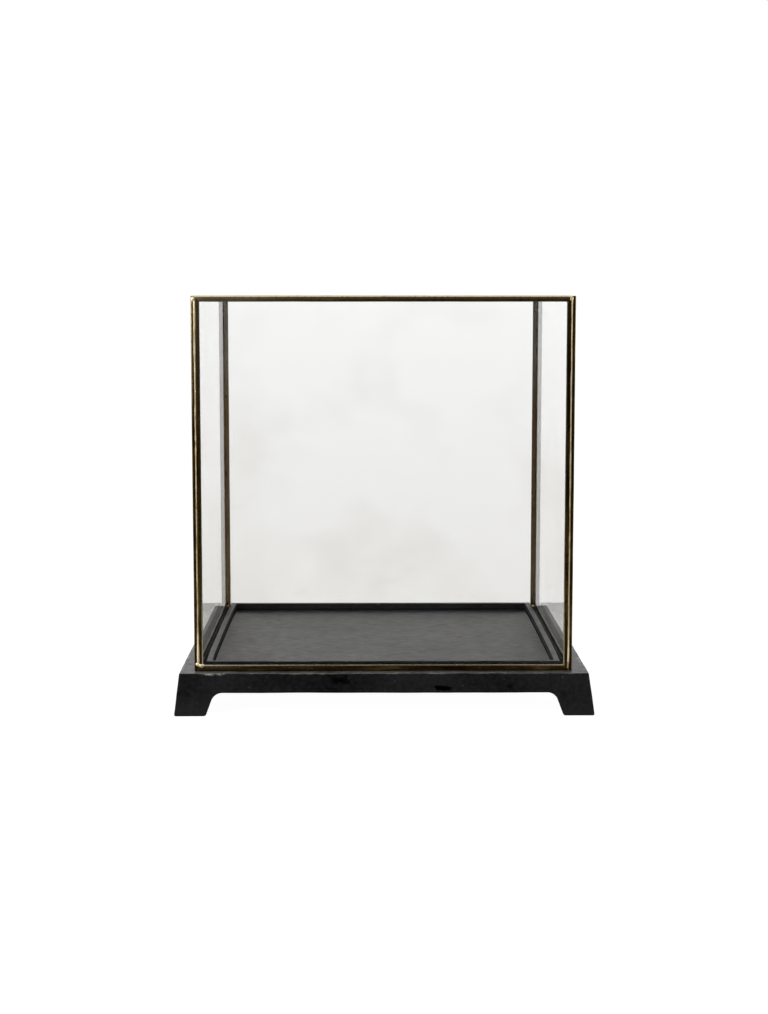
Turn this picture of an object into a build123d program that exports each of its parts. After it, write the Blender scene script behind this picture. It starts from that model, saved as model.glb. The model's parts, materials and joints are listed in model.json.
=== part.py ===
from build123d import *

import os
from math import atan2, degrees, radians, sqrt, tan

# Glass display box: a five-sided glass cover stands loose on a cast base with four feet. Each pane is
# edged with folded brass channel, and the five framed panes are soldered together at their corners.
# Millimetres, +Z up, the front faces -Y, and the origin is on the table under the middle of the base.

# Cover
cover_width = 273.0
cover_depth = 273.0
cover_height = 269.5
glass_thickness = 2.0
glass_side_clearance = 0.05  # each side of the glass, inside its channel
glass_edge_clearance = 0.3  # from the edge of the glass to the bottom of its channel
glass_arris = 0.2  # edges of the glass ground off
channel_wall = 0.3
channel_face = 3.7  # brass seen on the face of a pane
channel_fold_radius = 0.6  # outside of the folds

# Solder
bead_lap = 0.4  # solder lapped over the flat brass on each side of a seam
bead_crown = 0.35  # height of a bead over the brass
lump_radius = 2.0  # lumps of solder at the corners
lump_crown = 0.7

# Base casting
base_margin = 10.0  # top of the base seen outside the cover
side_flare = 3.5  # lean of each side, from its top edge out to the feet
apron_height = 14.0  # side of the base above the gaps between the feet
foot_height = 16.5
foot_length = 21.0  # along each side, where the foot stands
foot_slope = 20.0  # lean of a foot's inner edge, in degrees
arch_radius = 7.0  # where a foot runs into the apron
top_thickness = 6.0
skirt_thickness = 5.0
base_corner_radius = 1.5
base_edge_radius = 0.8
foot_edge_radius = 0.6

# Tray rim that keeps the cover in its place on the base
rim_clearance = 5.2  # from the inside of the cover's brass to the rim
rim_width = 4.5
rim_height = 5.6  # over the ledge that the cover stands on
rim_corner_radius = 2.0
rim_edge_radius = 0.8
tray_corner_radius = 3.0

# Sizes worked out from these
slot_width = glass_thickness + 2 * glass_side_clearance
channel_thickness = slot_width + 2 * channel_wall
channel_inner_radius = max(channel_fold_radius - channel_wall, channel_wall / 10)
glass_inset = channel_wall + glass_edge_clearance
bead_half_width = channel_fold_radius + bead_lap
lump_depth = lump_radius - lump_crown
lump_reach = sqrt(lump_radius**2 - lump_depth**2)
base_height = apron_height + foot_height
base_top_width = cover_width + 2 * base_margin
base_top_depth = cover_depth + 2 * base_margin
stand_width = base_top_width + 2 * side_flare
stand_depth = base_top_depth + 2 * side_flare
side_lean = degrees(atan2(side_flare, base_height))
rim_outer_width = cover_width - 2 * (channel_thickness + rim_clearance)
rim_outer_depth = cover_depth - 2 * (channel_thickness + rim_clearance)
cover_top = base_height + cover_height
cover_middle = base_height + cover_height / 2
seam_x = cover_width / 2 - channel_thickness
seam_y = cover_depth / 2 - channel_thickness


def save(builder, label):
    """Label a finished piece and write it as its own file."""
    builder.part.label = label
    export_step(builder.part, f"parts/{label}.step")


def make_base():
    """One casting: leaning sides, corner feet, open underneath, with the tray rim on top."""
    with BuildPart() as base:
        # Block with leaning sides
        with BuildSketch():
            Rectangle(stand_width, stand_depth)
        extrude(amount=base_height, taper=side_lean)
        fillet(base.edges().group_by(Axis.Z)[1], base_corner_radius)
        fillet(base.faces().sort_by(Axis.Z)[-1].edges(), base_edge_radius)
        # Hollow underside
        with BuildSketch():
            Rectangle(stand_width - 2 * skirt_thickness, stand_depth - 2 * skirt_thickness)
        extrude(amount=base_height - top_thickness, taper=side_lean, mode=Mode.SUBTRACT)
        # Gaps between the feet, front to back and side to side
        for plane, span, reach in (
            (Plane.XZ, stand_width, stand_depth),
            (Plane.YZ, stand_depth, stand_width),
        ):
            half_gap = span / 2 - foot_length
            half_arch = half_gap - foot_height * tan(radians(foot_slope))
            with BuildSketch(plane) as gap:
                with BuildLine():
                    Polyline(
                        (-half_gap, 0),
                        (half_gap, 0),
                        (half_arch, foot_height),
                        (-half_arch, foot_height),
                        close=True,
                    )
                make_face()
                fillet(gap.vertices().group_by(Axis.Y)[-1], arch_radius)
            extrude(amount=reach, both=True, mode=Mode.SUBTRACT)
        fillet(base.faces().sort_by(Axis.Z)[:4].edges(), foot_edge_radius)
        # Tray rim round the display floor, which is level with the ledge
        with BuildSketch(Plane.XY.offset(base_height)):
            RectangleRounded(rim_outer_width, rim_outer_depth, rim_corner_radius)
            RectangleRounded(
                rim_outer_width - 2 * rim_width,
                rim_outer_depth - 2 * rim_width,
                tray_corner_radius,
                mode=Mode.SUBTRACT,
            )
        extrude(amount=rim_height)
        fillet(base.faces().sort_by(Axis.Z)[-1].edges(), rim_edge_radius)
    save(base, "base_casting")


def make_pane(label, pane_plane, frame_width, frame_height):
    """Glass that fills a frame of channel, less the clearance at its edges."""
    with BuildPart() as pane:
        with BuildSketch(pane_plane):
            Rectangle(frame_width - 2 * glass_inset, frame_height - 2 * glass_inset)
        extrude(amount=glass_thickness / 2, both=True)
        chamfer(pane.edges(), glass_arris)
    save(pane, label)


def make_channel(label, pane_plane, quarter_turns, run, inset):
    """One mitred length of channel along an edge of a pane, open towards the pane's middle."""
    edge_plane = Plane(pane_plane * Rot(0, 0, 90 * quarter_turns))
    section_plane = Plane(
        origin=edge_plane.from_local_coords((0, -inset, 0)),
        x_dir=edge_plane.z_dir,
        z_dir=-edge_plane.x_dir,
    )
    with BuildPart() as channel:
        with BuildSketch(section_plane) as section:
            Rectangle(channel_thickness, channel_face, align=(Align.CENTER, Align.MIN))
            fillet(section.vertices().group_by(Axis.Y)[0], channel_fold_radius)
            with BuildSketch(mode=Mode.SUBTRACT) as slot:
                with Locations((0, channel_wall)):
                    Rectangle(slot_width, channel_face, align=(Align.CENTER, Align.MIN))
                fillet(slot.vertices().group_by(Axis.Y)[0], channel_inner_radius)
        extrude(amount=run / 2, both=True)
        for end in (-1, 1):
            mitre_plane = Plane(
                origin=edge_plane.from_local_coords((end * run / 2, -inset, 0)),
                x_dir=edge_plane.z_dir,
                z_dir=edge_plane.x_dir * end + edge_plane.y_dir,
            )
            split(bisect_by=mitre_plane, keep=Keep.BOTTOM)
    save(channel, label)


def make_framed_pane(name, pane_plane, frame_width, frame_height, edge_names):
    """A pane and the four lengths of channel round it, from the edge below its middle, anticlockwise."""
    make_pane(f"{name}_pane", pane_plane, frame_width, frame_height)
    for quarter_turns, edge_name in enumerate(edge_names):
        along_width = quarter_turns % 2 == 0
        run = frame_width if along_width else frame_height
        inset = frame_height / 2 if along_width else frame_width / 2
        make_channel(f"{name}_channel_{edge_name}", pane_plane, quarter_turns, run, inset)


def make_bead(label, start, run_direction, outward, length):
    """Solder along a seam: crowned outside, keyed into the groove between the two folds."""
    bead_plane = Plane(origin=start, x_dir=outward.cross(run_direction), z_dir=run_direction)
    key_half_width = channel_fold_radius / 2
    key_depth = channel_fold_radius / 3
    with BuildPart() as bead:
        with BuildSketch(bead_plane):
            with BuildLine():
                crown = ThreePointArc((-bead_half_width, 0), (0, bead_crown), (bead_half_width, 0))
                Polyline(
                    crown @ 1,
                    (key_half_width, 0),
                    (0, -key_depth),
                    (-key_half_width, 0),
                    crown @ 0,
                )
            make_face()
        extrude(amount=length)
    save(bead, label)


def make_lumps(label, height):
    """Four lumps of solder over the seams of the front and back, trimmed to the faces of the cover."""
    with BuildPart() as lumps:
        with Locations((0, 0, height)):
            with GridLocations(2 * seam_x, cover_depth - 2 * lump_depth, 2, 2):
                Sphere(lump_radius)
        with Locations((0, 0, base_height)):
            Box(
                cover_width,
                cover_depth,
                cover_height,
                align=(Align.CENTER, Align.CENTER, Align.MIN),
                mode=Mode.SUBTRACT,
            )
    save(lumps, label)


def make_cover():
    """Five framed panes: the sides run full depth, the front and back fit between them, and the top
    pane drops in between all four."""
    inner_width = cover_width - 2 * channel_thickness
    inner_depth = cover_depth - 2 * channel_thickness
    pane_x = cover_width / 2 - channel_thickness / 2
    pane_y = cover_depth / 2 - channel_thickness / 2
    pane_z = cover_top - channel_thickness / 2
    front_plane = Plane(origin=(0, -pane_y, cover_middle), x_dir=(1, 0, 0), z_dir=(0, -1, 0))
    back_plane = Plane(origin=(0, pane_y, cover_middle), x_dir=(-1, 0, 0), z_dir=(0, 1, 0))
    left_plane = Plane(origin=(-pane_x, 0, cover_middle), x_dir=(0, -1, 0), z_dir=(-1, 0, 0))
    right_plane = Plane(origin=(pane_x, 0, cover_middle), x_dir=(0, 1, 0), z_dir=(1, 0, 0))
    top_plane = Plane(origin=(0, 0, pane_z), x_dir=(1, 0, 0), z_dir=(0, 0, 1))
    upright_frame = (inner_width, cover_height)
    side_frame = (cover_depth, cover_height)
    top_frame = (inner_width, inner_depth)
    make_framed_pane("front", front_plane, *upright_frame, ("bottom", "right", "top", "left"))
    make_framed_pane("back", back_plane, *upright_frame, ("bottom", "left", "top", "right"))
    make_framed_pane("left", left_plane, *side_frame, ("bottom", "front", "top", "back"))
    make_framed_pane("right", right_plane, *side_frame, ("bottom", "back", "top", "front"))
    make_framed_pane("top", top_plane, *top_frame, ("front", "right", "back", "left"))


def make_solder():
    """Beads along the upright corner seams and the top seams, and lumps at their ends."""
    up = Vector(0, 0, 1)
    lower_lump_height = base_height + channel_face
    bead_bottom = lower_lump_height + lump_reach
    upright_length = cover_top - lump_depth - lump_reach - bead_bottom
    for face, y_side in (("front", -1), ("back", 1)):
        for hand, x_side in (("left", -1), ("right", 1)):
            start = Vector(x_side * seam_x, y_side * cover_depth / 2, bead_bottom)
            make_bead(f"{face}_{hand}_seam_solder", start, up, Vector(0, y_side, 0), upright_length)
    # The side seams run out to the lumps, and the front and back seams stop at the side seams
    side_start = cover_depth / 2 - lump_depth - lump_reach
    for hand, x_side in (("left", -1), ("right", 1)):
        start = Vector(x_side * seam_x, -side_start, cover_top)
        make_bead(f"top_{hand}_seam_solder", start, Vector(0, 1, 0), up, 2 * side_start)
    cross_start = seam_x - max(bead_half_width, lump_reach)
    for face, y_side in (("front", -1), ("back", 1)):
        start = Vector(-cross_start, y_side * seam_y, cover_top)
        make_bead(f"top_{face}_seam_solder", start, Vector(1, 0, 0), up, 2 * cross_start)
    make_lumps("lower_corner_solder", lower_lump_height)
    make_lumps("upper_corner_solder", cover_top - lump_depth)


os.makedirs("parts", exist_ok=True)
make_base()
make_cover()
make_solder()
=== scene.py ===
import json
import math
from collections import namedtuple

import bmesh
import bpy
from mathutils import Matrix, Vector, noise


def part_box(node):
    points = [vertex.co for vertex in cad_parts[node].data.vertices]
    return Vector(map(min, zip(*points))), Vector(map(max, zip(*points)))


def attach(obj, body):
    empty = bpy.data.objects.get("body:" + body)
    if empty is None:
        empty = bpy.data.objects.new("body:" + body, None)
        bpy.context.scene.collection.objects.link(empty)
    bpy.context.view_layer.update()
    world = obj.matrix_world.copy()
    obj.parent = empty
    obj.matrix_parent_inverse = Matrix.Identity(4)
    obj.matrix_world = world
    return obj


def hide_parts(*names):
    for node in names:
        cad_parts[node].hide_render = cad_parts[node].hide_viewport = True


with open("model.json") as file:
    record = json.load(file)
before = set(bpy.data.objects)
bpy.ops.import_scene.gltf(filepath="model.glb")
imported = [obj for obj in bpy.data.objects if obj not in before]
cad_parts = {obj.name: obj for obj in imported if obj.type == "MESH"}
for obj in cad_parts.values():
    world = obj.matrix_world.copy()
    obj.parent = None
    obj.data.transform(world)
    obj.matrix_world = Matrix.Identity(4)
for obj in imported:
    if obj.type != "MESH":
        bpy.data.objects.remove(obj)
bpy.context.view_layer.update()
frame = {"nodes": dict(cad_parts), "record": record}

# Glass display box: a glass cover in soldered antique brass stands on a black cast base.
# Metres, +Z up, the front faces -Y. A band is the two places between which a look fades, and a wave is
# its height and its count per metre.

MM = 0.001
TOLERANCE = 1e-6
SMOOTH_ANGLE = math.radians(40)
EDGE_SEGMENTS = 3
# Without a seed, noise_vector would start from the clock and differ in each run
NOISE_SEED = 1
noise.seed_set(NOISE_SEED)

# Cover, read from the frame
COVER_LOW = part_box("left_channel_bottom")[0]
COVER_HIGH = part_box("right_channel_top")[1]
COVER_MIDDLE = (COVER_LOW + COVER_HIGH) / 2
CHANNEL_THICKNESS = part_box("left_channel_top")[1].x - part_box("left_channel_top")[0].x
SEAM_X = COVER_HIGH.x - CHANNEL_THICKNESS

# Brass channel: width of its face, and how much rub and painted highlight its lips and its folds get; a
# negative share paints shade
ChannelKind = namedtuple("ChannelKind", "face lip_rub fold_rub")
CHANNEL_KINDS = {
    "level": ChannelKind(4.1 * MM, 0.3, 0.85),
    "upright": ChannelKind(3.5 * MM, 1.3, 0.05),
    "bottom": ChannelKind(4.4 * MM, 1.4, -0.2),
}
CHANNEL_WALL = 0.3 * MM
FOLD_RADIUS = 0.65 * MM
FOLD_SEGMENTS = 4
FOLD_RUB_REACH = 1.25 * FOLD_RADIUS
LIP_ROW = 0.9 * MM
CHANNEL_STEP = 3.0 * MM
CHANNEL_WAVE = (0.07 * MM, 45)
GRAIN_STRETCH = 0.14
# Uprights are dark at their upper ends, and the rub and painted highlight of their lips fade out over the
# same length above the ledge
DARK_FROM_END = 80 * MM
LEAST_LIP_RUB = 0.15
# Over this height above the ledge the brass is painted paler as painted light, and the front uprights' lips
# lose some of their rub
LOWER_END_REACH = 35 * MM
FOOT_RUB_LOSS = 0.2
# Brass behind the cover's front keeps this share of its rub and painted light
BEHIND_FRONT = 1 * MM
RUB_BEHIND_FRONT = 0.2
# How much handling has rubbed the brass, fading out from the cover's upper left corner in front
HANDLED_CORNER = {"left_channel_front": 0.3, "front_channel_top": 0.26, "front_channel_left": 0.09}
HANDLED_REACH = 95 * MM
# The front bottom channel's rub and painted lip highlight grow towards the left
HANDLED_BOTTOM_RUB = 0.08
HANDLED_BOTTOM_GAIN = 0.8
# How far over the cover's middle the dusty tarnish turns grey
GREYED_BAND = (40 * MM, 90 * MM)

# Solder beads along the seams
BEAD_HALF_WIDTH = 0.75 * MM
BEAD_CROWN = 0.6 * MM
BEAD_KEY = 0.3 * MM
BEAD_STEP = 1.1 * MM
BEAD_END = 1.6 * MM
BEAD_WANDER = (0.15 * MM, 60)
# Share of its full size that a bead has on average, and the waves in that share
BEAD_SHARE = 0.58
BEAD_LONG_WAVE = (0.18, 130)
BEAD_SHORT_WAVE = (0.09, 520)
# How much painted light a bead has in its middle, and how much more at its ends, where it paints glints
BEAD_PAINTED_LIGHT = 0.72
BEAD_END_GAIN = 0.28
# How much wider an upright seam runs at its foot and at its head
SEAM_ENDS = {
    "front_left_seam_solder": (0.7, 0.4),
    "front_right_seam_solder": (0.3, 0.0),
    "back_right_seam_solder": (0.7, 0.4),
}
# Painted glints along the front left seam, and at the feet of the seams that widen there
BRIGHT_SEAMS = {"front_left_seam_solder": 0.13}
# Bands along a seam, as shares of its length from its middle
WIDE_FOOT_BAND = (0.375, 0.5)
BRIGHT_FOOT_BAND = (0.4, 0.46)
BRIGHT_SEAM_BAND = (-0.12, -0.02)

# Lumps of solder in millimetres: side, right of the seam, above the cover's edge, width, height, brightness
# of their painted light
Lump = namedtuple("Lump", "side right up width height bright")
UPPER_LUMPS = [
    Lump(-1, -1.2, -2.1, 2.8, 4.2, 0.8),
    Lump(1, -0.2, -1.8, 3.0, 3.4, 1.0),
]
LOWER_LUMPS = [
    Lump(-1, -0.3, 5.1, 3.7, 3.5, 1.4),
    Lump(-1, 2.3, 3.8, 4.0, 3.3, 1.2),
    Lump(1, -0.3, 4.3, 1.3, 5.6, 0.7),
]
# Lumps inside the lower back corners
INNER_LUMPS = [
    Lump(-1, 4.1, 3.3, 1.8, 3.4, 0.85),
    Lump(1, -4.1, 3.3, 1.8, 3.4, 0.85),
    Lump(-1, 1.0, 1.7, 3.0, 2.2, 0.85),
    Lump(1, -1.0, 1.7, 3.0, 2.2, 0.85),
]
LUMP_HALF_DEPTH = 1.0 * MM
LUMP_SUNK = 0.4 * MM
LUMP_COARSE_WAVE = (0.6 * MM, 420)
LUMP_FINE_WAVE = (0.2 * MM, 1500)

# Base casting
LEDGE_HEIGHT = COVER_LOW.z
RIM_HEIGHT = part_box("base_casting")[1].z - LEDGE_HEIGHT
FLOOR_HEIGHT = next(m["pos_m"][2] for m in frame["record"]["mounts"] if m["name"] == "display_floor")
STAND_SIZE = 300 * MM
TOP_SIZE = 293 * MM
RIM_SIZE = 257.2 * MM
RIM_WIDTH = 4.5 * MM
FOOT_HEIGHT = 16.5 * MM
FOOT_LENGTH = 21 * MM
FOOT_SLOPE = math.tan(math.radians(20))
ARCH_TANGENT = 5.6 * MM
WIDE_ARCH_TANGENT = 5.2 * MM
ARCH_SEGMENTS = 8
TOP_THICKNESS = 6 * MM
SKIRT_THICKNESS = 5 * MM
CAST_EDGE = 1.3 * MM
TOP_EDGE = 0.5 * MM
TRAY_EDGE = 0.5 * MM
SHARP_ANGLE = 0.6
CAST_STEP = 5 * MM
NEAR = 1 * MM
TOUCHING = 0.01 * MM

# Hand work and wear of the casting
CAST_WAVES = [(0.2 * MM, 22), (0.12 * MM, 90)]
TOP_EDGE_WAVE = (0.3 * MM, 75)
TOP_EDGE_SHIFT = Vector((5, 3, 1))
# How far below the ledge, and in from its outer edge, the work on the top reaches
TOP_ZONE = 2 * MM
FLOOR_SAG = 0.9 * MM
RIM_BOW = 1.0 * MM
RIM_BOW_BAND = (4 * MM, 10 * MM)
# How far the gap between the front feet stands to the right at its left and right ends
GAP_SHIFT = {"left": 1.2 * MM, "right": 0.6 * MM}
GAP_SHIFT_IN_BAND = (3 * MM, 18 * MM)
GAP_SHIFT_DOWN_BAND = (4 * MM, 9 * MM)
# How far the left and right sides stand out of true at the ledge, and how much further at the feet
UNEVEN_SIDES = {"left": (-0.3 * MM, -0.2 * MM), "right": (1.25 * MM, 0.85 * MM)}
UNEVEN_START = TOP_SIZE / 2 - 5 * MM
# Dents of the front in millimetres
Dent = namedtuple("Dent", "x z half_width half_height depth")
DENTS = [Dent(41.8, 19.8, 6.2, 2.0, 0.9), Dent(-31.4, 26.0, 9, 4, 0.4), Dent(90.7, 21.0, 3, 2, 0.3)]
DENT_ROWS = 8
DENT_RAGGED = (0.6, 300)
DENTED_FRONT = -TOP_SIZE / 2 + 0.5 * MM
# Painted shade on the ledge at the rim's foot, and in the trench between the rim and the cover
RIM_FOOT_SHADE = 0.8
RIM_FOOT_START = RIM_SIZE / 2 - 0.3 * MM
RIM_FOOT_REACH = 3 * MM
TRENCH_SHADE = 0.95

# Bands of the casting's looks
EDGE_INSET = 0.9 * MM
# Along the ledge's outer edge the paint is rubbed grey, partly real wear and partly a painted highlight
EDGE_WEAR_AND_HIGHLIGHT_BAND = (0.4 * MM, 1.3 * MM)
CHIPPED_EDGE_BAND = (0.9 * MM, 1.8 * MM)
CHIPPED_PLACE = -121.6 * MM
CHIPPED_SIDE_BAND = (6 * MM, 9 * MM)
CHIPPED_FRONT_BAND = (-TOP_SIZE / 2 + 3 * MM, -TOP_SIZE / 2 + 4 * MM)
# Painted shade on the inner walls of the tray, deepest at their foot
WALL_FOOT_SHADE_BAND = (0.8 * MM, 1.4 * MM)
WALL_SHADE_BAND = (RIM_SIZE / 2 - 2 * MM, RIM_SIZE / 2 - 3 * MM)
TRENCH_START_BAND = (RIM_SIZE / 2 + 0.7 * MM, RIM_SIZE / 2 + 1.3 * MM)
TRENCH_END_BAND = (COVER_HIGH.x - 3.5 * MM, COVER_HIGH.x - 2.5 * MM)
# Round the cover the ledge is painted lighter: partly scuffs, partly a painted sheen
SCUFF_AND_SHEEN_BAND = (COVER_HIGH.x, COVER_HIGH.x + 2.5 * MM)
FOOT_DUST_BAND = (FOOT_HEIGHT, 3 * MM)

# Colours of the casting
PAINT_DARK = (0.002, 0.002, 0.0022)
PAINT_PALE = (0.019, 0.019, 0.0206)
# Painted shade on the tray's inner walls
TRAY_WALL_PAINTED_SHADE = (0.001, 0.001, 0.001)
# Painted shade in recesses: the dents, the trench and the rim's foot
RECESS_PAINTED_SHADE = (0.0008, 0.0008, 0.0008)
# Scuffs round the cover, partly real wear and partly painted sheen
SCUFF_AND_SHEEN = (0.125, 0.122, 0.118)
FOOT_DUST = (0.03, 0.03, 0.031)
# Grey of the top edge: partly real wear, partly a painted highlight
RUBBED_EDGE_AND_HIGHLIGHT = (0.24, 0.238, 0.225)
CHIPPED_EDGE = (0.42, 0.415, 0.39)
BARE_SPOT = (0.12, 0.118, 0.115)

# Colours of the brass
PATINA_DARK = (0.026, 0.014, 0.002)
PATINA_BROWN = (0.13, 0.075, 0.018)
PATINA_PALE = (0.46, 0.31, 0.11)
TARNISH_BROWN = (0.20, 0.135, 0.07)
TARNISH_GREY = (0.31, 0.285, 0.25)
# Rubbed and tinned brass, partly real wear and partly painted highlight
RUBBED_BRASS_AND_HIGHLIGHT = (0.86, 0.72, 0.46)
TINNED_BRASS_AND_HIGHLIGHT = (0.96, 0.88, 0.72)

# Colours of the solder
SOLDER_DULL = (0.50, 0.36, 0.16)
SOLDER_WARM = (0.80, 0.65, 0.36)
SOLDER_PALE = (0.93, 0.80, 0.50)
# Painted shade and painted glints on the solder
SOLDER_PAINTED_SHADE = (0.035, 0.022, 0.009)
SOLDER_PAINTED_GLINT = (1.0, 0.86, 0.54)

# Glass
GLASS_CLEAN = (1.0, 1.0, 0.998)
GLASS_DUSTY = (0.90, 0.895, 0.88)
LAMPS_THROUGH_GLASS = (0.93, 0.95, 0.94)
GLASS_IOR = 1.45
UNMIRRORED_SHARE = 0.4

# Studio
FLOOR_REACH = 40.0
FLOOR_WHITE = (0.9, 0.9, 0.9)
FLOOR_SEEN = 1.3
FLOOR_SHADOWLESS = 0.75
# What polished faces show of the floor: it is dim in front of the box, and bright behind it and beside it
FLOOR_BACK_BAND = (-0.3, 0.15)
FLOOR_DIM = 0.05
FLOOR_SIDE_BAND = (0.13, 0.2)
FLOOR_SIDE_START_BAND = (-0.75, -0.5)
WORLD_LIGHT = 0.35
# What polished faces show of the world: it is dim towards the camera's side
WORLD_FRONT_BAND = (-0.98, -0.7)
WORLD_DIM = 0.1
WORLD_DIM_IN_GLASS = 0.25
Softbox = namedtuple("Softbox", "name place width height power")
SOFTBOXES = [
    Softbox("key_softbox", (-1.1, -1.1, 0.6), 0.4, 1.1, 9.0),
    Softbox("fill_softbox", (1.2, -0.9, 0.6), 0.4, 1.1, 3.0),
]
SOFTBOX_AIM = Vector((0, 0, 0.15))

# Camera, from the lines of the photograph
CAMERA_PLACE = Vector((-0.0114, -1.4432, 0.29935))
CAMERA_PITCH = math.radians(6.53)
CAMERA_YAW = math.radians(0.52)
CAMERA_LENS = 65.2
CAMERA_SENSOR = 36.0


# Helpers for shapes

def progress(value, start, end):
    """How far a value has come from start to end, held between 0 and 1."""
    return min(1, max(0, (value - start) / (end - start)))


def everything(bm):
    """All that a cut goes through."""
    return bm.verts[:] + bm.edges[:] + bm.faces[:]


def cut(bm, place, normal):
    """Slice a mesh at a plane, and keep both sides."""
    bmesh.ops.bisect_plane(bm, geom=everything(bm), plane_co=place, plane_no=normal, dist=TOLERANCE)


def round_edges(bm, edges, radius, segments):
    """Bevel edges to a round."""
    bmesh.ops.bevel(
        bm, geom=edges, offset=radius, segments=segments, profile=0.5, affect="EDGES", material=-1,
    )


def seed_of(name):
    """A steady offset into the noise, different for each piece."""
    return Vector((sum(map(ord, name)) % 97, len(name) * 7.3, ord(name[0]) * 1.7))


def axis_vector(axis, length=1.0):
    """A vector along one axis."""
    vector = Vector((0, 0, 0))
    vector[axis] = length
    return vector


def place_matrix(across, outward, along, origin):
    """A matrix whose columns are the piece's own directions."""
    turned = Matrix((across, outward, along)).transposed()
    return Matrix.Translation(origin) @ turned.to_4x4()


def finish_piece(name, bm, material, body, node):
    """Turn a bmesh into a piece at the origin that stands for a CAD node and rides on its body."""
    bmesh.ops.recalc_face_normals(bm, faces=bm.faces[:])
    mesh = bpy.data.meshes.new(name)
    bm.to_mesh(mesh)
    bm.free()
    mesh.shade_smooth()
    mesh.set_sharp_from_angle(angle=SMOOTH_ANGLE)
    mesh.materials.append(material)
    piece = bpy.data.objects.new(name, mesh)
    bpy.context.scene.collection.objects.link(piece)
    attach(piece, body)
    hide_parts(node)


# Helpers for materials

def add_node(tree, kind, inputs=None, **settings):
    """A node with its settings, and its inputs set or linked."""
    made = tree.nodes.new("ShaderNode" + kind)
    for name, value in settings.items():
        setattr(made, name, value)
    for name, value in (inputs or {}).items():
        socket = made.inputs[name]
        if isinstance(value, bpy.types.NodeSocket):
            tree.links.new(value, socket)
        else:
            socket.default_value = value
    return made


def math_node(tree, operation, first, second=0.0, clamp=False):
    """The result of a sum on one or two values."""
    made = add_node(tree, "Math", {0: first, 1: second}, operation=operation, use_clamp=clamp)
    return made.outputs[0]


def times(tree, first, second):
    """Two values multiplied."""
    return math_node(tree, "MULTIPLY", first, second)


def plus(tree, first, second):
    """Two values added."""
    return math_node(tree, "ADD", first, second)


def minus(tree, first, second):
    """The first value less the second."""
    return math_node(tree, "SUBTRACT", first, second)


def larger(tree, first, second):
    """The larger of two values."""
    return math_node(tree, "MAXIMUM", first, second)


def size_of(tree, value):
    """A value without its sign."""
    return math_node(tree, "ABSOLUTE", value)


def range_node(tree, value, low, high, to_low, to_high):
    """A value carried over from one range to another, and held inside it."""
    inputs = {"Value": value, "From Min": low, "From Max": high, "To Min": to_low, "To Max": to_high}
    return add_node(tree, "MapRange", inputs).outputs["Result"]


def rise(tree, value, low, high):
    """From 0 to 1 over a band."""
    return range_node(tree, value, low, high, 0.0, 1.0)


def fall(tree, value, low, high):
    """From 1 to 0 over a band."""
    return range_node(tree, value, low, high, 1.0, 0.0)


def blend(tree, factor, first, second):
    """A value between two others."""
    return add_node(tree, "Mix", {"Factor": factor, "A": first, "B": second}).outputs[0]


def axes_of(tree, vector):
    """The X, Y and Z of a vector."""
    return add_node(tree, "SeparateXYZ", {"Vector": vector}).outputs


def noise_node(tree, vector, scale, detail=4.0, roughness=0.55):
    """Soft noise of a size."""
    inputs = {"Vector": vector, "Scale": scale, "Detail": detail, "Roughness": roughness}
    return add_node(tree, "TexNoise", inputs).outputs["Fac"]


def stretched(tree, vector, scale):
    """Coordinates for noise that runs further one way than another."""
    return add_node(tree, "Mapping", {"Vector": vector, "Scale": scale}).outputs["Vector"]


def attribute(tree, name, output="Fac"):
    """A value that was written on the mesh when its piece was made."""
    return add_node(tree, "Attribute", attribute_name=name).outputs[output]


def bump_node(tree, height, strength, distance):
    """A normal for a surface that is rough to the touch."""
    inputs = {"Height": height, "Strength": strength, "Distance": distance}
    return add_node(tree, "Bump", inputs).outputs["Normal"]


def opaque(colour):
    """A plain colour with its alpha."""
    return (*colour, 1.0)


def ramp_node(tree, factor, stops):
    """A colour that runs through several stops."""
    made = add_node(tree, "ValToRGB", {"Fac": factor})
    while len(made.color_ramp.elements) < len(stops):
        made.color_ramp.elements.new(0.5)
    for element, (position, colour) in zip(made.color_ramp.elements, stops):
        element.position = position
        element.color = opaque(colour)
    return made.outputs["Color"]


def cover_colour(tree, factor, under, over):
    """A colour with another laid over it. Sockets 6 and 7 are the Mix node's two colours."""
    return add_node(tree, "Mix", {0: factor, 6: under, 7: opaque(over)}, data_type="RGBA").outputs[2]


def new_material(name):
    """An empty node material with its output, and the piece's own coordinates."""
    material = bpy.data.materials.new(name)
    material.use_nodes = True
    tree = material.node_tree
    tree.nodes.clear()
    output = add_node(tree, "OutputMaterial")
    place = add_node(tree, "TexCoord").outputs["Object"]
    return material, tree, output, place


# Black casting

def casting_patterns(tree, place):
    """Uneven patterns of the paint and of the metal under it."""
    along_brush = stretched(tree, place, (110.0, 700.0, 700.0))
    return {
        "blotch": noise_node(tree, place, 10.0),
        "chip": noise_node(tree, place, 80.0, detail=6.0, roughness=0.7),
        "spot": noise_node(tree, place, 260.0, detail=2.0),
        "fine": noise_node(tree, place, 320.0, detail=5.0, roughness=0.65),
        "grain": noise_node(tree, place, 900.0, detail=6.0),
        "streak": noise_node(tree, along_brush, 1.0, detail=5.0, roughness=0.75),
    }


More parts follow.
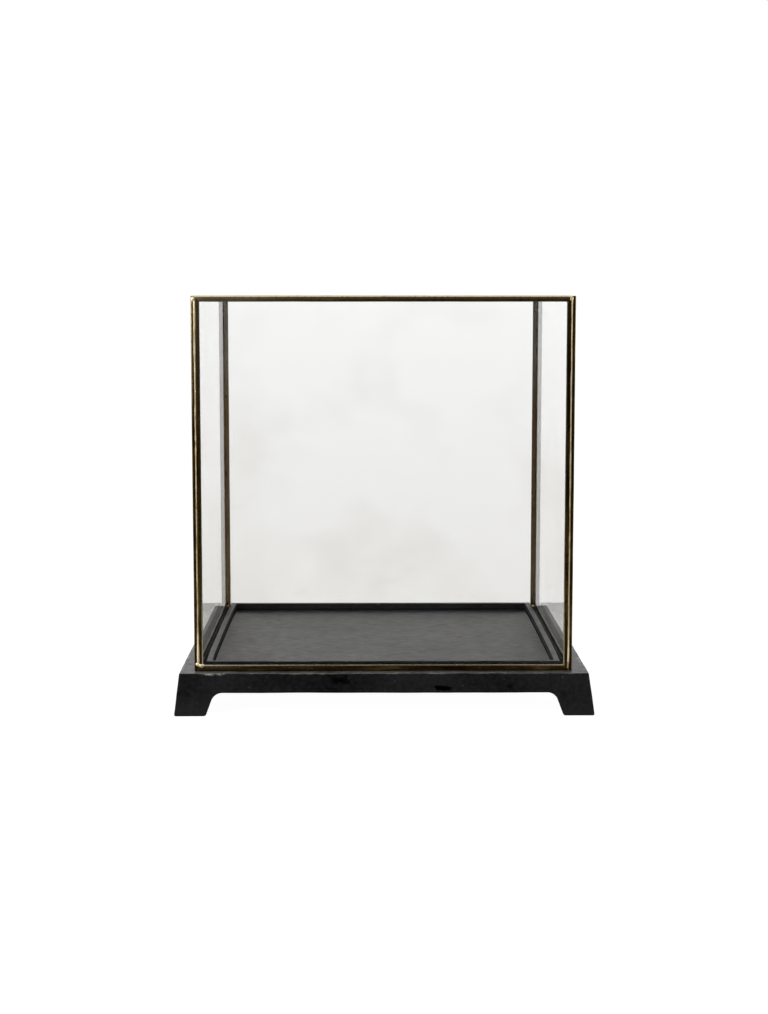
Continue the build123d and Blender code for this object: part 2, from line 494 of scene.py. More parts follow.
def casting_spots(tree, place):
    """Where a spot of the casting lies, what is worn and brushed there, and where shade is painted on it."""
    axes = axes_of(tree, place)
    facing = axes_of(tree, add_node(tree, "NewGeometry").outputs["Normal"])["Z"]
    level = rise(tree, facing, 0.7, 0.95)
    reach = larger(tree, size_of(tree, axes["X"]), size_of(tree, axes["Y"]))
    above_ledge = minus(tree, axes["Z"], LEDGE_HEIGHT)
    past_edge = minus(tree, reach, TOP_SIZE / 2 - EDGE_INSET)
    squares = plus(tree, math_node(tree, "POWER", past_edge, 2.0), math_node(tree, "POWER", above_ledge, 2.0))
    # Painted shade on the inner walls of the tray rim, darkest at their foot
    painted_wall_shade = times(tree, rise(tree, reach, *WALL_SHADE_BAND), fall(tree, level, 0.0, 0.5))
    wall_foot_shade = fall(tree, above_ledge, *WALL_FOOT_SHADE_BAND)
    trench = times(tree, rise(tree, reach, *TRENCH_START_BAND), fall(tree, reach, *TRENCH_END_BAND))
    return {
        "axes": axes,
        "level": level,
        "reach": reach,
        "from_edge": math_node(tree, "SQRT", squares),
        "painted_wall_shade": times(tree, painted_wall_shade, range_node(tree, wall_foot_shade, 0.0, 1.0, 0.3, 1.0)),
        "brushed": times(tree, level, fall(tree, trench, 0.0, 1.0)),
        # Painted shade in the dents, at the rim's foot and in the trench
        "recess_shade": larger(tree, attribute(tree, "recess_shade"), times(tree, trench, TRENCH_SHADE)),
    }


def casting_chips(tree, pattern, spot):
    """Bare specks along a stretch of the front's top edge."""
    beside = size_of(tree, minus(tree, spot["axes"]["X"], CHIPPED_PLACE))
    in_front = fall(tree, spot["axes"]["Y"], *CHIPPED_FRONT_BAND)
    chipped = times(tree, fall(tree, beside, *CHIPPED_SIDE_BAND), in_front)
    chipped = times(tree, chipped, fall(tree, spot["from_edge"], *CHIPPED_EDGE_BAND))
    speckle = blend(tree, 0.5, pattern["fine"], pattern["grain"])
    return times(tree, chipped, rise(tree, speckle, 0.46, 0.57))


def casting_colour(tree, pattern, spot):
    """Mottled black paint with the wear of its ledge, feet and edges, painted shade on the tray walls and in
    its recesses, and painted sheen and highlight in the ledge's scuffs and along the top edge.
    """
    mottle = blend(tree, 0.4, pattern["blotch"], pattern["fine"])
    # Ledge round the cover painted lighter: partly scuffs, partly a painted sheen
    scuff_and_sheen = times(tree, rise(tree, spot["reach"], *SCUFF_AND_SHEEN_BAND), rise(tree, pattern["chip"], 0.35, 0.65))
    dust = range_node(tree, spot["axes"]["Z"], *FOOT_DUST_BAND, 0.0, 0.35)
    # The top edge is rubbed grey: partly wear, partly a painted highlight
    edge_wear_and_highlight = fall(tree, spot["from_edge"], *EDGE_WEAR_AND_HIGHLIGHT_BAND)
    edge = times(tree, edge_wear_and_highlight, rise(tree, pattern["chip"], 0.5, 0.62))
    colour = ramp_node(tree, mottle, [(0.37, PAINT_DARK), (0.6, PAINT_PALE)])
    # Painted shade on the tray's inner walls
    colour = cover_colour(tree, spot["painted_wall_shade"], colour, TRAY_WALL_PAINTED_SHADE)
    colour = cover_colour(tree, times(tree, scuff_and_sheen, spot["level"]), colour, SCUFF_AND_SHEEN)
    colour = cover_colour(tree, dust, colour, FOOT_DUST)
    colour = cover_colour(tree, edge, colour, RUBBED_EDGE_AND_HIGHLIGHT)
    colour = cover_colour(tree, casting_chips(tree, pattern, spot), colour, CHIPPED_EDGE)
    # Painted shade in the recesses
    colour = cover_colour(tree, spot["recess_shade"], colour, RECESS_PAINTED_SHADE)
    return cover_colour(tree, rise(tree, pattern["spot"], 0.73, 0.77), colour, BARE_SPOT)


def black_casting():
    """Satin black over sand-cast metal, brushed on its level faces, rubbed grey along the top edge, with
    painted shade in the tray and its recesses.
    """
    material, tree, output, place = new_material("satin_black_casting")
    pattern = casting_patterns(tree, place)
    spot = casting_spots(tree, place)
    streak, level, brushed = pattern["streak"], spot["level"], spot["brushed"]
    polish = blend(tree, brushed, 0.62, range_node(tree, streak, 0.3, 0.7, 0.34, 0.58))
    rough = plus(tree, polish, range_node(tree, pattern["blotch"], 0.3, 0.7, -0.03, 0.03))
    gloss = times(tree, brushed, range_node(tree, streak, 0.3, 0.7, 0.98, 0.4))
    # Polished faces are dulled where shade is painted
    in_painted_shade = larger(tree, spot["recess_shade"], spot["painted_wall_shade"])
    dull = times(tree, range_node(tree, level, 0.0, 1.0, 0.06, 0.0), fall(tree, in_painted_shade, 0.0, 0.7))
    height = plus(tree, times(tree, pattern["grain"], 0.6), times(tree, level, streak))
    shader = add_node(tree, "BsdfPrincipled", {
        "Base Color": casting_colour(tree, pattern, spot),
        "Roughness": rough,
        "Specular IOR Level": plus(tree, gloss, dull),
        "Normal": bump_node(tree, height, 0.25, 0.3 * MM),
    })
    tree.links.new(shader.outputs[0], output.inputs["Surface"])
    return material


# Brass, solder and glass

def brass_patina(tree, patina, patch, height):
    """Dark patina in patches, and the dusty tarnish inside the cover, which is grey towards its top."""
    greyed = times(
        tree,
        rise(tree, minus(tree, height, COVER_MIDDLE.z), *GREYED_BAND),
        range_node(tree, patch, 0.3, 0.6, 0.6, 1.0),
    )
    tarnish = cover_colour(tree, greyed, opaque(TARNISH_BROWN), TARNISH_GREY)
    colour = ramp_node(tree, patina, [(0.36, PATINA_DARK), (0.54, PATINA_BROWN), (0.72, PATINA_PALE)])
    dusty = times(tree, attribute(tree, "dusty"), 0.75)
    return add_node(tree, "Mix", {0: dusty, 6: colour, 7: tarnish}, data_type="RGBA").outputs[2]


def antique_brass():
    """Folded brass under a dark patina, rubbed bright along its edges with painted highlights, painted paler
    towards its foot, and with painted shade inside the bottom channels.
    """
    material, tree, output, place = new_material("antique_brass")
    patch = noise_node(tree, attribute(tree, "grain", "Vector"), 260.0, detail=3.0)
    speck = noise_node(tree, place, 500.0)
    rub = attribute(tree, "rub")
    height = axes_of(tree, place)["Z"]
    # Painted light: the patina is paler towards the foot
    painted_light_at_foot = range_node(tree, height, COVER_LOW.z, COVER_LOW.z + LOWER_END_REACH, 0.16, 0.0)
    high_end = range_node(tree, height, COVER_HIGH.z - DARK_FROM_END, COVER_HIGH.z, -0.1, -0.02)
    patina = plus(tree, times(tree, patch, 0.75), times(tree, speck, 0.25))
    patina = plus(tree, patina, plus(tree, painted_light_at_foot, high_end))
    # Negative values paint shade into the patina
    patina = plus(tree, patina, math_node(tree, "MINIMUM", rub, 0.0))
    worn_and_highlit = math_node(tree, "MULTIPLY", rub, range_node(tree, speck, 0.25, 0.5, 0.5, 1.5), clamp=True)
    # Bright lips: partly tinned, partly a painted highlight
    tinned_and_highlit = rise(tree, rub, 1.0, 2.4)
    colour = brass_patina(tree, patina, patch, height)
    colour = cover_colour(tree, worn_and_highlit, colour, RUBBED_BRASS_AND_HIGHLIGHT)
    colour = cover_colour(tree, tinned_and_highlit, colour, TINNED_BRASS_AND_HIGHLIGHT)
    shader = add_node(tree, "BsdfPrincipled", {
        "Base Color": colour,
        "Metallic": range_node(tree, tinned_and_highlit, 0.0, 1.0, 1.0, 0.4),
        "Roughness": range_node(tree, patina, 0.35, 0.65, 0.34, 0.22),
        "Normal": bump_node(tree, speck, 0.2, 0.2 * MM),
    })
    tree.links.new(shader.outputs[0], output.inputs["Surface"])
    return material


def seam_solder():
    """Pale brass-toned solder, dulled brown in places, with painted shade where its painted light is low and
    painted glints where it is high.
    """
    material, tree, output, place = new_material("brass_solder")
    dull = noise_node(tree, place, 90.0, detail=5.0)
    ripple = noise_node(tree, place, 500.0, detail=3.0)
    painted_solder_light = attribute(tree, "painted_solder_light")
    pale = ramp_node(tree, dull, [(0.32, SOLDER_DULL), (0.44, SOLDER_WARM), (0.6, SOLDER_PALE)])
    # Low painted light mixes in painted shade
    inputs = {0: painted_solder_light, 6: opaque(SOLDER_PAINTED_SHADE), 7: pale}
    colour = add_node(tree, "Mix", inputs, data_type="RGBA").outputs[2]
    # Painted glints where the painted light runs above 1
    colour = cover_colour(tree, range_node(tree, painted_solder_light, 1.0, 1.8, 0.0, 0.9), colour, SOLDER_PAINTED_GLINT)
    shader = add_node(tree, "BsdfPrincipled", {
        "Base Color": colour,
        "Metallic": 0.6,
        "Roughness": range_node(tree, dull, 0.3, 0.7, 0.42, 0.28),
        "Normal": bump_node(tree, ripple, 0.3, 0.2 * MM),
    })
    tree.links.new(shader.outputs[0], output.inputs["Surface"])
    return material


def glass_smears_and_low_tint(tree, place):
    """Haze on the panes with smears and wiped marks, darker towards the bottom, where the wiped marks are
    strongest.
    """
    height = axes_of(tree, place)["Z"]
    # The tint darkens towards the bottom
    towards_bottom = range_node(tree, height, COVER_LOW.z, COVER_HIGH.z, 0.6, 0.0)
    smear = noise_node(tree, place, 13.0, detail=2.0)
    wiped = noise_node(tree, stretched(tree, place, (38.0, 38.0, 90.0)), 1.0, detail=6.0, roughness=0.7)
    mark = range_node(tree, wiped, 0.58, 0.75, 0.0, 0.6)
    dust = plus(tree, towards_bottom, range_node(tree, smear, 0.5, 0.75, 0.0, 0.4))
    return plus(tree, dust, times(tree, mark, towards_bottom))


def clear_glass():
    """Thin clear float glass that lets the lamps through."""
    material, tree, output, place = new_material("clear_float_glass")
    tint = ramp_node(tree, glass_smears_and_low_tint(tree, place), [(0.0, GLASS_CLEAN), (1.0, GLASS_DUSTY)])
    shader = add_node(tree, "BsdfPrincipled", {
        "Base Color": tint,
        "Transmission Weight": 1.0,
        "IOR": GLASS_IOR,
        "Roughness": 0.0,
    })
    # A share that only bends light, because the panes mirror less at a slant than plain glass would
    bent = add_node(tree, "BsdfRefraction", {"Color": tint, "IOR": GLASS_IOR, "Roughness": 0.0})
    glass = add_node(tree, "MixShader", {0: UNMIRRORED_SHARE, 1: shader.outputs[0], 2: bent.outputs[0]})
    lamp_light = add_node(tree, "BsdfTransparent", {"Color": opaque(LAMPS_THROUGH_GLASS)})
    shadow_ray = add_node(tree, "LightPath").outputs["Is Shadow Ray"]
    surface = add_node(tree, "MixShader", {0: shadow_ray, 1: glass.outputs[0], 2: lamp_light.outputs[0]})
    tree.links.new(surface.outputs[0], output.inputs["Surface"])
    return material


# Base

def reach_of(spot):
    """How far out from the middle a spot lies, along X or Y."""
    return max(abs(spot.x), abs(spot.y))


def in_tray(spot):
    """Whether a spot of the casting belongs to the tray and its rim."""
    return reach_of(spot) < RIM_SIZE / 2 + NEAR and spot.z > LEDGE_HEIGHT - NEAR


def on_top_edge(edge):
    """Whether an edge of the casting runs round the outside of the ledge."""
    return all(vert.co.z > LEDGE_HEIGHT - NEAR / 10 and not in_tray(vert.co) for vert in edge.verts)


def make_base(material):
    """The casting: leaning sides on four corner feet, open below, with the tray rim on top."""
    bm = bmesh.new()
    bmesh.ops.create_cube(bm, size=1.0)
    bmesh.ops.scale(bm, vec=(STAND_SIZE, STAND_SIZE, LEDGE_HEIGHT), verts=bm.verts[:])
    bmesh.ops.translate(bm, vec=(0, 0, LEDGE_HEIGHT / 2), verts=bm.verts[:])
    top = max(bm.faces, key=lambda face: face.calc_center_median().z)
    bottom = min(bm.faces, key=lambda face: face.calc_center_median().z)
    narrower = TOP_SIZE / STAND_SIZE
    bmesh.ops.scale(bm, vec=(narrower, narrower, 1), verts=top.verts[:])
    for thickness, depth in (
        ((TOP_SIZE - RIM_SIZE) / 2, 0),
        (0, RIM_HEIGHT),
        (RIM_WIDTH, 0),
        (0, FLOOR_HEIGHT - LEDGE_HEIGHT - RIM_HEIGHT),
    ):
        bmesh.ops.inset_region(bm, faces=[top], thickness=thickness, depth=depth, use_even_offset=True)
    hollow = LEDGE_HEIGHT - TOP_THICKNESS
    lean = (STAND_SIZE - TOP_SIZE) / 2 * hollow / LEDGE_HEIGHT
    for thickness, depth in ((SKIRT_THICKNESS, 0), (lean, -hollow)):
        bmesh.ops.inset_region(bm, faces=[bottom], thickness=thickness, depth=depth, use_even_offset=True)
    cut_feet(bm)
    round_casting(bm)
    slice_evenly(bm)
    work_casting(bm)
    finish_piece("base_black_casting", bm, material, "base", "base_casting")


def cut_feet(bm):
    """Open the gaps between the feet, and round the corners where a foot runs into the side."""
    half_gap = STAND_SIZE / 2 - FOOT_LENGTH
    half_arch = half_gap - FOOT_SLOPE * FOOT_HEIGHT
    cut(bm, (0, 0, FOOT_HEIGHT), (0, 0, 1))
    for side in (-1, 1):
        cut(bm, (side * half_gap, 0, 0), (side, 0, FOOT_SLOPE))
        cut(bm, (0, side * half_gap, 0), (0, side, FOOT_SLOPE))

    def between_feet(face):
        middle = face.calc_center_median()
        gap = half_gap - FOOT_SLOPE * middle.z
        return middle.z < FOOT_HEIGHT - TOUCHING and min(abs(middle.x), abs(middle.y)) < gap

    bmesh.ops.delete(bm, geom=[face for face in bm.faces if between_feet(face)], context="FACES")
    for axis in (0, 1):
        for side in (-1, 1):
            rims = [edge for edge in bm.edges if edge.is_boundary
                    and all(vert.co[axis] * side > half_gap + NEAR for vert in edge.verts)
                    and any(vert.co.z > TOUCHING for vert in edge.verts)]
            bmesh.ops.bridge_loops(bm, edges=rims)
    bmesh.ops.recalc_face_normals(bm, faces=bm.faces[:])

    def at_arch_end(vert):
        nearest = min(abs(vert.co.x), abs(vert.co.y))
        return abs(nearest - half_arch) < TOUCHING and abs(vert.co.z - FOOT_HEIGHT) < TOUCHING

    corners = [edge for edge in bm.edges if all(map(at_arch_end, edge.verts))
               and abs(edge.calc_length() - SKIRT_THICKNESS) < NEAR]
    wide = [edge for edge in corners if all(vert.co.x > 0 and vert.co.y < -half_gap for vert in edge.verts)]
    usual = [edge for edge in corners if edge not in wide]
    for edges, tangent in ((wide, WIDE_ARCH_TANGENT), (usual, ARCH_TANGENT)):
        round_edges(bm, edges, tangent, ARCH_SEGMENTS)


def round_casting(bm):
    """Round the edges of the tray, then those of the sides and feet, and last the edge of the ledge."""
    sharp = [edge for edge in bm.edges if edge.is_manifold and edge.calc_face_angle() > SHARP_ANGLE]
    tray = [edge for edge in sharp if all(in_tray(vert.co) for vert in edge.verts)]
    rest = [edge for edge in sharp if edge not in tray and not on_top_edge(edge)]
    round_edges(bm, tray, TRAY_EDGE, EDGE_SEGMENTS)
    round_edges(bm, rest, CAST_EDGE, EDGE_SEGMENTS)
    top = [edge for edge in bm.edges if on_top_edge(edge) and edge.calc_face_angle() > SHARP_ANGLE]
    round_edges(bm, top, TOP_EDGE, EDGE_SEGMENTS)


def slice_evenly(bm):
    """Cut the casting into small faces that can be worked, with finer ones at the dents."""
    for count in range(1, round(STAND_SIZE / CAST_STEP)):
        for axis in (0, 1):
            cut(bm, axis_vector(axis, -STAND_SIZE / 2 + count * CAST_STEP), axis_vector(axis))
    for count in range(1, int(LEDGE_HEIGHT / CAST_STEP)):
        cut(bm, (0, 0, count * CAST_STEP), (0, 0, 1))
    for dent in DENTS:
        for count in range(-DENT_ROWS, DENT_ROWS + 1):
            row = count / DENT_ROWS * MM
            cut(bm, (dent.x * MM + row * dent.half_width, 0, 0), (1, 0, 0))
            cut(bm, (0, 0, dent.z * MM + row * dent.half_height), (0, 0, 1))


def work_casting(bm):
    """Give the casting the waves, dents and uneven sides of hand work, and mark where shade is painted."""
    bm.normal_update()
    recess_shade = bm.verts.layers.float.new("recess_shade")
    for vert in bm.verts:
        vert[recess_shade] = rim_foot_shade(vert.co)
        vert.co += vert.normal * sum(height * noise.noise(vert.co * count) for height, count in CAST_WAVES)
        vert.co.z -= floor_sag(vert.co)
        vert.co.z += top_edge_wave(vert.co)
        press_dents(vert, recess_shade)
        vert.co.x += gap_shift(vert.co)
        vert.co.x += out_of_true(vert.co)
        vert.co.x += rim_bow(vert.co)
        vert.co.z = max(vert.co.z, 0)


def rim_foot_shade(spot):
    """How much shade is painted on the ledge at the foot of the tray rim."""
    beside_rim = RIM_FOOT_START < reach_of(spot) < RIM_SIZE / 2 + RIM_FOOT_REACH
    return RIM_FOOT_SHADE if beside_rim and abs(spot.z - LEDGE_HEIGHT) < RIM_FOOT_REACH else 0.0


def floor_sag(spot):
    """How far the display floor sinks towards its middle."""
    if not in_tray(spot) or spot.z >= FLOOR_HEIGHT + NEAR:
        return 0
    return FLOOR_SAG * max(0, 1 - (2 * reach_of(spot) / RIM_SIZE) ** 6)


def top_edge_wave(spot):
    """How far the outer edge of the ledge stands up or down."""
    if reach_of(spot) <= TOP_SIZE / 2 - TOP_ZONE or spot.z <= LEDGE_HEIGHT - TOP_ZONE:
        return 0
    height, count = TOP_EDGE_WAVE
    return height * noise.noise(spot * count + TOP_EDGE_SHIFT)


def press_dents(vert, recess_shade):
    """Press the dents into the front, and paint shade into them."""
    if vert.co.y >= DENTED_FRONT:
        return
    ragged, count = DENT_RAGGED
    for dent in DENTS:
        across = (vert.co.x / MM - dent.x) / dent.half_width
        upwards = (vert.co.z / MM - dent.z) / dent.half_height
        away = math.hypot(across, upwards) + ragged * noise.noise(vert.co * count)
        hollow = max(0, 1 - away * away)
        vert.co.y += dent.depth * MM * hollow
        # Paint shade into the dent
        vert[recess_shade] = max(vert[recess_shade], min(1, 2 * hollow * dent.depth))


def gap_shift(spot):
    """How far a spot between the feet stands to the right."""
    inside = progress(STAND_SIZE / 2 - abs(spot.x), *GAP_SHIFT_IN_BAND)
    below = progress(LEDGE_HEIGHT - spot.z, *GAP_SHIFT_DOWN_BAND)
    return GAP_SHIFT["right" if spot.x > 0 else "left"] * inside * below


def out_of_true(spot):
    """How far a spot on the left or right side stands to the right."""
    if abs(spot.x) <= UNEVEN_START:
        return 0
    at_ledge, at_feet = UNEVEN_SIDES["right" if spot.x > 0 else "left"]
    return at_ledge + at_feet * (1 - spot.z / LEDGE_HEIGHT)


def rim_bow(spot):
    """How far a spot on the left or right side of the tray rim bows out, with its sign."""
    if spot.z <= LEDGE_HEIGHT - TOP_ZONE:
        return 0
    from_rim = abs(abs(spot.x) - RIM_SIZE / 2 + RIM_WIDTH / 2)
    bow = RIM_BOW * (1 - progress(from_rim, *RIM_BOW_BAND))
    bow *= max(0, 1 - (2 * spot.y / RIM_SIZE) ** 4)
    return math.copysign(bow, spot.x)


# Cover

Channel = namedtuple("Channel", "node kind upright face next_face length inward matrix")


def read_channel(node):
    """The kind, length and directions of a channel, from its own box and its pane's in the frame."""
    low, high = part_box(node)
    pane_low, pane_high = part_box(node.split("_")[0] + "_pane")
    middle, pane_middle = (low + high) / 2, (pane_low + pane_high) / 2
    along = max(range(3), key=lambda axis: (high - low)[axis])
    across = min(range(3), key=lambda axis: (pane_high - pane_low)[axis])
    edgeways = 3 - along - across
    outward = 1 if middle[edgeways] > pane_middle[edgeways] else -1
    origin = middle.copy()
    origin[edgeways] = high[edgeways] if outward > 0 else low[edgeways]
    kind = "level"
    if along == 2:
        kind = "upright"
    elif node.endswith("_bottom"):
        kind = "bottom"
    return Channel(
        node=node,
        kind=kind,
        upright=along == 2,
        face=CHANNEL_KINDS[kind].face,
        next_face=CHANNEL_KINDS["upright" if edgeways == 2 else "level"].face,
        length=(high - low)[along],
        inward=1 if pane_middle[across] < COVER_MIDDLE[across] else -1,
        matrix=place_matrix(axis_vector(across), axis_vector(edgeways, -outward), axis_vector(along), origin),
    )


def make_channel(node, material):
    """A mitred length of folded sheet brass, a little wavy, rubbed and painted with highlights along its
    folds and lips.
    """
    channel = read_channel(node)
    bm = fold_channel(channel)
    mark_channel(bm, channel)
    for vert in bm.verts:
        vert.co.z *= 1 - 2 * vert.co.y * channel.next_face / channel.face / channel.length
    bmesh.ops.transform(bm, matrix=channel.matrix, verts=bm.verts[:])
    bmesh.ops.recalc_face_normals(bm, faces=bm.faces[:])
    rub_channel(bm, channel)
    offset = seed_of(node)
    height, count = CHANNEL_WAVE
    for vert in bm.verts:
        vert.co += noise.noise_vector(vert.co * count + offset) * height
    finish_piece(f"{node}_brass", bm, material, "glass_cover", node)


def fold_channel(channel):
    """A strip folded round the edge of a pane, along Z, with its ends still square."""
    bm = bmesh.new()
    half = CHANNEL_THICKNESS / 2
    lip = channel.face - LIP_ROW
    outline = [(half, channel.face), (half, lip), (half, 0), (-half, 0), (-half, lip), (-half, channel.face)]
    start = [bm.verts.new((x, y, -channel.length / 2)) for x, y in outline]
    strip = [bm.edges.new(pair) for pair in zip(start, start[1:])]
    steps = round(channel.length / CHANNEL_STEP)
    step = (0, 0, channel.length / steps)
    bmesh.ops.spin(bm, geom=strip + start, angle=0, steps=steps, dvec=step, axis=(0, 0, 1))
    folds = [edge for edge in bm.edges if all(vert.co.y < TOUCHING / 100 for vert in edge.verts)
             and edge.verts[0].co.x * edge.verts[1].co.x > 0]
    round_edges(bm, folds, FOLD_RADIUS, FOLD_SEGMENTS)
    bmesh.ops.recalc_face_normals(bm, faces=bm.faces[:])
    bmesh.ops.solidify(bm, geom=bm.faces[:], thickness=CHANNEL_WALL)
    return bm


def mark_channel(bm, channel):
    """Mark where a channel is rubbed and dusty and where highlight and shade are painted on it, and the run
    of its grain.
    """
    rub = bm.verts.layers.float.new("rub")
    grain = bm.verts.layers.float_vector.new("grain")
    dusty = bm.verts.layers.float.new("dusty")
    half = CHANNEL_THICKNESS / 2
    offset = seed_of(channel.node)
    kind = CHANNEL_KINDS[channel.kind]
    for vert in bm.verts:
        from_fold = math.hypot(abs(vert.co.x) - half, vert.co.y)
        lip = max(0, (vert.co.y - channel.face + LIP_ROW) / LIP_ROW)
        fold = max(0, (FOLD_RUB_REACH - from_fold) / FOLD_RADIUS)
        vert[rub] = lip * kind.lip_rub + fold * kind.fold_rub
        vert[grain] = Vector((vert.co.x, vert.co.y, vert.co.z * GRAIN_STRETCH)) + offset
        if vert.co.x * channel.inward > half - 2 * CHANNEL_WALL:
            # Inside the bottom channels shade is painted
            if channel.kind == "bottom":
                vert[rub] = -1.0
            else:
                vert[dusty] = 1.0


def rub_channel(bm, channel):
    """Change how much rub and painted light a channel has by where on the cover it lies."""
    rub = bm.verts.layers.float["rub"]
    for vert in bm.verts:
        over_ledge = vert.co.z - COVER_LOW.z
        if channel.upright:
            vert[rub] *= max(LEAST_LIP_RUB, 1 - over_ledge / DARK_FROM_END)
        if channel.node in ("left_channel_front", "right_channel_front"):
            vert[rub] -= FOOT_RUB_LOSS * max(0, 1 - over_ledge / LOWER_END_REACH)
        from_left = vert.co.x - COVER_LOW.x
        from_corner = max(from_left, COVER_HIGH.z - vert.co.z)
        vert[rub] += HANDLED_CORNER.get(channel.node, 0) * max(0, 1 - from_corner / HANDLED_REACH)
        if channel.node == "front_channel_bottom":
            handled = max(0, 1 - from_left / HANDLED_REACH)
            vert[rub] += handled * (HANDLED_BOTTOM_RUB + HANDLED_BOTTOM_GAIN * max(0, vert[rub]))
        if vert.co.y > COVER_LOW.y + BEHIND_FRONT:
            vert[rub] *= RUB_BEHIND_FRONT


def make_bead(node, material):
    """Solder run along a seam, uneven in width and height, rounded off at its ends."""
    low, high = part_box(node)
    size, middle = high - low, (low + high) / 2
    along = max(range(3), key=lambda axis: size[axis])
    outward = min(range(3), key=lambda axis: size[axis])
    across = 3 - along - outward
    side = 1 if middle[outward] > COVER_MIDDLE[outward] else -1
    origin = middle.copy()
    origin[outward] = COVER_HIGH[outward] if side > 0 else COVER_LOW[outward]
    length = size[along]
    steps = round(length / BEAD_STEP)
    step = (0, 0, length / steps)
    offset = seed_of(node)

    bm = bmesh.new()
    start = Matrix.Translation((0, 0, -length / 2))
    ring = bmesh.ops.create_circle(bm, segments=12, radius=1.0, matrix=start)["verts"]
    bmesh.ops.spin(bm, geom=ring + bm.edges[:], angle=0, steps=steps, dvec=step, axis=(0, 0, 1))
    wander, count = BEAD_WANDER
    for vert in bm.verts:
        swell = bead_swell(node, vert.co.z, length, offset)
        sideways = wander * noise.noise(offset + Vector((0, 0, vert.co.z * count)))
        vert.co.x = vert.co.x * BEAD_HALF_WIDTH * swell + sideways
        vert.co.y *= (BEAD_CROWN if vert.co.y > 0 else BEAD_KEY) * swell
    bmesh.ops.remove_doubles(bm, verts=bm.verts[:], dist=TOLERANCE)
    painted_solder_light = bm.verts.layers.float.new("painted_solder_light")
    for vert in bm.verts:
        vert[painted_solder_light] = bead_painted_light(node, vert.co.z / length)
    matrix = place_matrix(axis_vector(across), axis_vector(outward, side), axis_vector(along), origin)
    bmesh.ops.transform(bm, matrix=matrix, verts=bm.verts[:])
    finish_piece(f"{node}_bead", bm, material, "glass_cover", node)


def bead_swell(node, run, length, offset):
    """How thick a bead is at a place along its run, as a share of its full size."""
    long_wave, long_count = BEAD_LONG_WAVE
    short_wave, short_count = BEAD_SHORT_WAVE
    swell = BEAD_SHARE + long_wave * noise.noise(offset + Vector((run * long_count, 0, 0)))
    swell += short_wave * noise.noise(offset + Vector((0, run * short_count, 0)))
    foot, head = SEAM_ENDS.get(node, (0.0, 0.0))
    swell += foot * progress(-run / length, *WIDE_FOOT_BAND)
    swell += head * max(0, 2 * run / length) ** 2
    from_end = min(1, (length / 2 - abs(run)) / BEAD_END)
    return swell * math.sqrt(max(0, 1 - (1 - from_end) ** 2))


def bead_painted_light(node, run):
    """How much painted light a bead has at a place along its run, which goes from -0.5 to 0.5."""
    painted_solder_light = BEAD_PAINTED_LIGHT + BEAD_END_GAIN * (2 * run) ** 6
    painted_solder_light += BRIGHT_SEAMS.get(node, 0) * progress(run, *BRIGHT_SEAM_BAND)
    if node in SEAM_ENDS:
        painted_solder_light += progress(-run, *BRIGHT_FOOT_BAND)
    return painted_solder_light


def add_lump(bm, lump, y, edge_height, subdivisions):
    """One flattened ball of solder on a seam."""
    painted_solder_light = bm.verts.layers.float["painted_solder_light"]
    x = lump.side * SEAM_X + lump.right * MM
    place = Matrix.Translation((x, y, edge_height + lump.up * MM))
    size = Matrix.Diagonal((lump.width / 2 * MM, LUMP_HALF_DEPTH, lump.height / 2 * MM, 1.0))
    ball = bmesh.ops.create_icosphere(bm, subdivisions=subdivisions, radius=1.0, matrix=place @ size)
    for vert in ball["verts"]:
        vert[painted_solder_light] = lump.bright


def make_lumps(node, material):
    """Lumps of solder over the ends of the four upright seams, and inside the lower back corners."""
    bm = bmesh.new()
    bm.verts.layers.float.new("painted_solder_light")
    upper = node.startswith("upper")
    edge_height = COVER_HIGH.z if upper else COVER_LOW.z
    for lump in UPPER_LUMPS if upper else LOWER_LUMPS:
        for y_side in (-1, 1):
            add_lump(bm, lump, y_side * (COVER_HIGH.y - LUMP_SUNK), edge_height, subdivisions=4)
    if not upper:
        for lump in INNER_LUMPS:
            add_lump(bm, lump, COVER_HIGH.y - CHANNEL_THICKNESS, edge_height, subdivisions=3)
    coarse, coarse_count = LUMP_COARSE_WAVE
    fine, fine_count = LUMP_FINE_WAVE
    for vert in bm.verts:
        swollen = noise.noise_vector(vert.co * coarse_count) * coarse
        vert.co += swollen + noise.noise_vector(vert.co * fine_count) * fine
    finish_piece(f"{node}_lumps", bm, material, "glass_cover", node)


def dress_cover():
    """Glass on the panes, and brass and solder in place of their CAD nodes."""
    brass, solder, glass = antique_brass(), seam_solder(), clear_glass()
    for node in sorted(frame["nodes"]):
        if node.endswith("_pane"):
            for slot in frame["nodes"][node].material_slots:
                slot.material = glass
        elif "_channel_" in node:
            make_channel(node, brass)
        elif node.endswith("_seam_solder"):
            make_bead(node, solder)
        elif node.endswith("_corner_solder"):
            make_lumps(node, solder)


# Studio

def ray_kinds(tree, path):
    """Rays that came straight through glass, and all rays that came by glass or a reflection."""
    turns = plus(tree, path["Glossy Depth"], path["Diffuse Depth"])
    unturned = math_node(tree, "LESS_THAN", turns, 0.5)
    straight = times(tree, path["Is Transmission Ray"], unturned)
    bounced = larger(tree, path["Is Transmission Ray"], path["Is Glossy Ray"])
    return straight, bounced


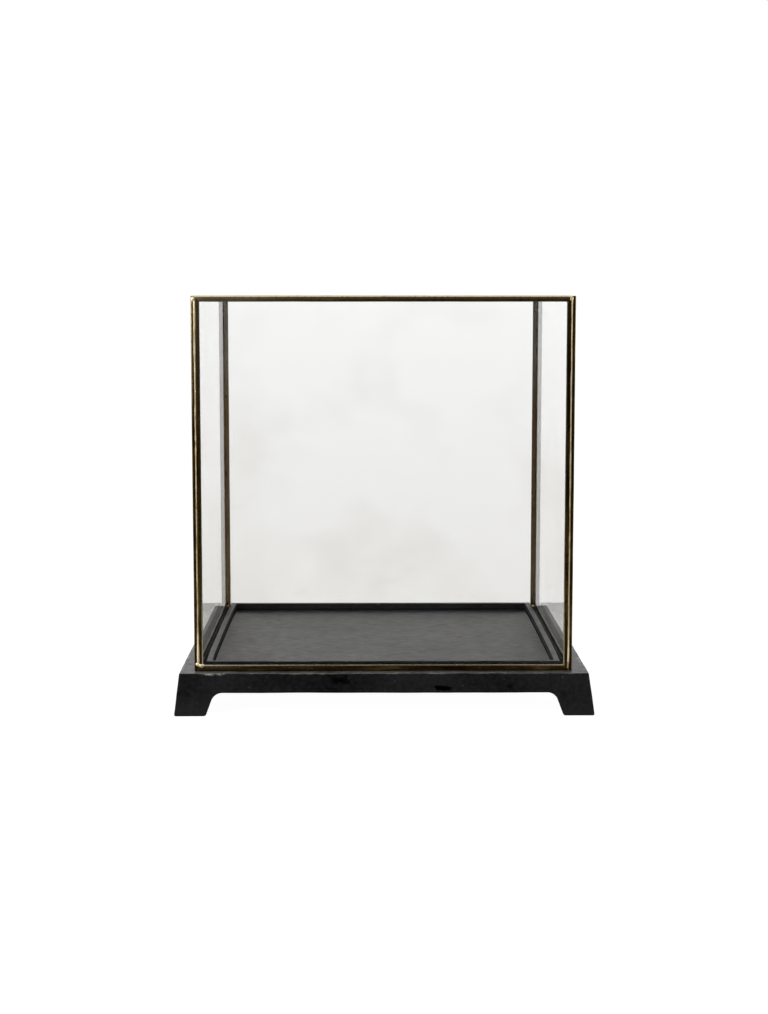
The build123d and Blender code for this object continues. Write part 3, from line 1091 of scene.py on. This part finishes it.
def white_floor():
    """White for what is seen, with the soft shadow of the box, and dimmer in places in reflections."""
    material, tree, output, place = new_material("white_floor")
    path = add_node(tree, "LightPath").outputs
    axes = axes_of(tree, place)
    beside = times(
        tree,
        rise(tree, size_of(tree, axes["X"]), *FLOOR_SIDE_BAND),
        rise(tree, axes["Y"], *FLOOR_SIDE_START_BAND),
    )
    mirrored = larger(tree, range_node(tree, axes["Y"], *FLOOR_BACK_BAND, FLOOR_DIM, 1.0), beside)
    straight, bounced = ray_kinds(tree, path)
    behind_glass = blend(tree, straight, mirrored, 1.0)
    strength = blend(tree, path["Is Camera Ray"], behind_glass, FLOOR_SEEN)
    matt = add_node(tree, "BsdfDiffuse", {"Color": opaque(FLOOR_WHITE)})
    white = add_node(tree, "Emission", {"Strength": strength})
    shadowless = times(tree, path["Is Camera Ray"], FLOOR_SHADOWLESS)
    share = math_node(tree, "ADD", shadowless, bounced, clamp=True)
    surface = add_node(tree, "MixShader", {0: share, 1: matt.outputs[0], 2: white.outputs[0]})
    tree.links.new(surface.outputs[0], output.inputs["Surface"])
    return material


def make_floor():
    """A wide flat floor under the box."""
    bm = bmesh.new()
    bmesh.ops.create_grid(bm, x_segments=1, y_segments=1, size=FLOOR_REACH)
    mesh = bpy.data.meshes.new("studio_floor")
    bm.to_mesh(mesh)
    bm.free()
    mesh.materials.append(white_floor())
    floor = bpy.data.objects.new("studio_floor", mesh)
    bpy.context.scene.collection.objects.link(floor)


def make_world():
    """White all round for what is seen, and dimmer towards the camera's side in reflections."""
    world = bpy.data.worlds.new("studio")
    bpy.context.scene.world = world
    world.use_nodes = True
    tree = world.node_tree
    tree.nodes.clear()
    path = add_node(tree, "LightPath").outputs
    axes = axes_of(tree, add_node(tree, "TexCoord").outputs["Generated"])
    in_glass = times(tree, path["Is Transmission Ray"], WORLD_DIM_IN_GLASS)
    mirrored = larger(tree, range_node(tree, axes["Y"], *WORLD_FRONT_BAND, WORLD_DIM, 1.0), in_glass)
    straight, bounced = ray_kinds(tree, path)
    unseen = blend(tree, bounced, WORLD_LIGHT, mirrored)
    seen = larger(tree, path["Is Camera Ray"], straight)
    strength = blend(tree, seen, unseen, 1.0)
    background = add_node(tree, "Background", {"Color": (1.0, 1.0, 1.0, 1.0), "Strength": strength})
    output = add_node(tree, "OutputWorld")
    tree.links.new(background.outputs[0], output.inputs["Surface"])


def make_softbox(softbox):
    """A lamp with a large soft face, turned towards the box."""
    lamp = bpy.data.lights.new(softbox.name, "AREA")
    lamp.shape = "RECTANGLE"
    lamp.size = softbox.width
    lamp.size_y = softbox.height
    lamp.energy = softbox.power
    holder = bpy.data.objects.new(softbox.name, lamp)
    holder.location = softbox.place
    aim = SOFTBOX_AIM - Vector(softbox.place)
    holder.rotation_euler = aim.to_track_quat("-Z", "Y").to_euler()
    bpy.context.scene.collection.objects.link(holder)


def make_camera():
    """The camera at the photograph's place, looking a little down."""
    camera = bpy.data.cameras.new("camera")
    camera.lens = CAMERA_LENS
    camera.sensor_width = CAMERA_SENSOR
    holder = bpy.data.objects.new("camera", camera)
    holder.location = CAMERA_PLACE
    holder.rotation_euler = (math.pi / 2 - CAMERA_PITCH, 0, -CAMERA_YAW)
    bpy.context.scene.collection.objects.link(holder)
    bpy.context.scene.camera = holder


make_base(black_casting())
dress_cover()
make_floor()
make_world()
for softbox in SOFTBOXES:
    make_softbox(softbox)
make_camera()
bpy.context.scene.view_settings.view_transform = "Standard"
